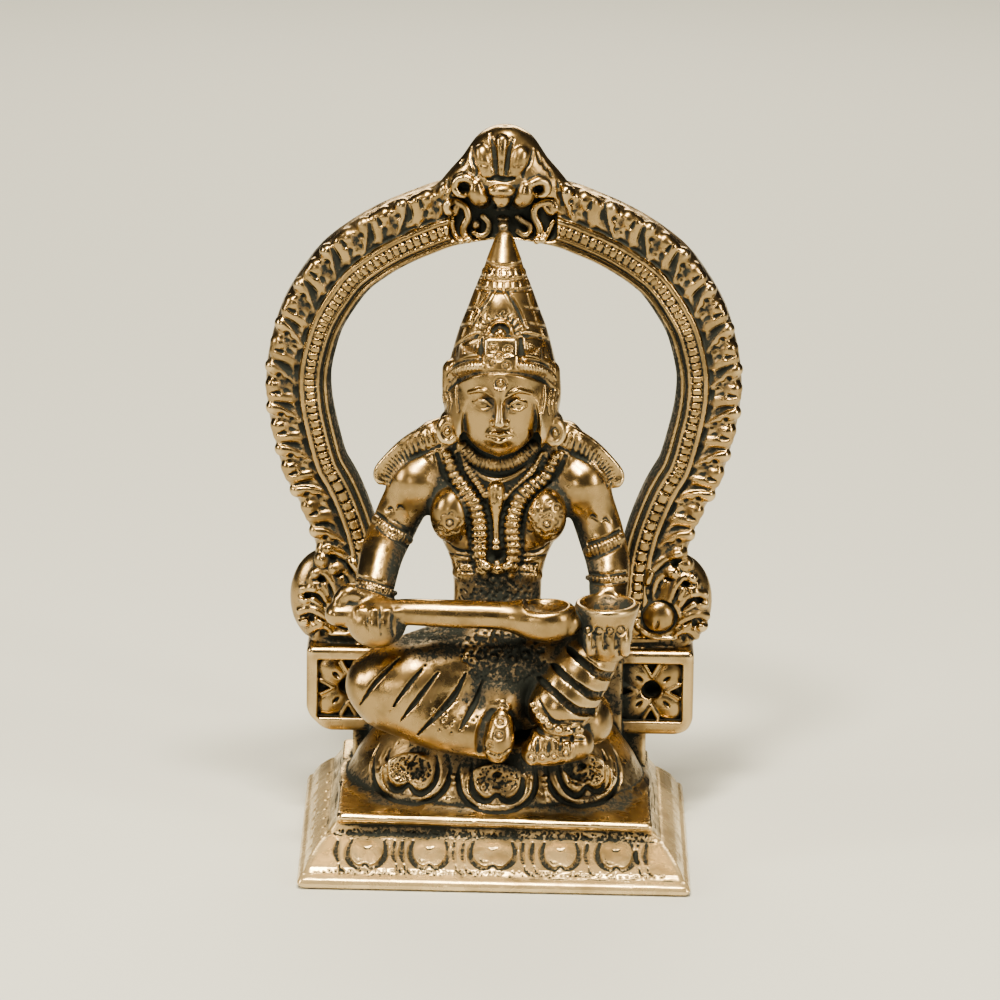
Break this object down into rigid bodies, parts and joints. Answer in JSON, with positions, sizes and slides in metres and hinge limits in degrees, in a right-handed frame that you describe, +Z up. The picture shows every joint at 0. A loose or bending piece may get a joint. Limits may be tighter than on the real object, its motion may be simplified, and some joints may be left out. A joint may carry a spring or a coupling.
{
  "type": "seated goddess figure",
  "caption": "Cast brass figure of a seated goddess with a ladle and a bowl, on a flower seat and stepped plinth, under a flame arch.",
  "frame": {"origin": "middle of the underside of the plinth", "axes": "+Z up, the figure faces -Y, +X towards the figure's left hand"},
  "size_m": [0.1006, 0.066, 0.1517],
  "materials": {
    "brass": "worn polished brass with dark patina in the hollows"
  },
  "bodies": {
    "root": {"goddess_with_arch_and_plinth": "brass"}
  },
  "joints": []
}
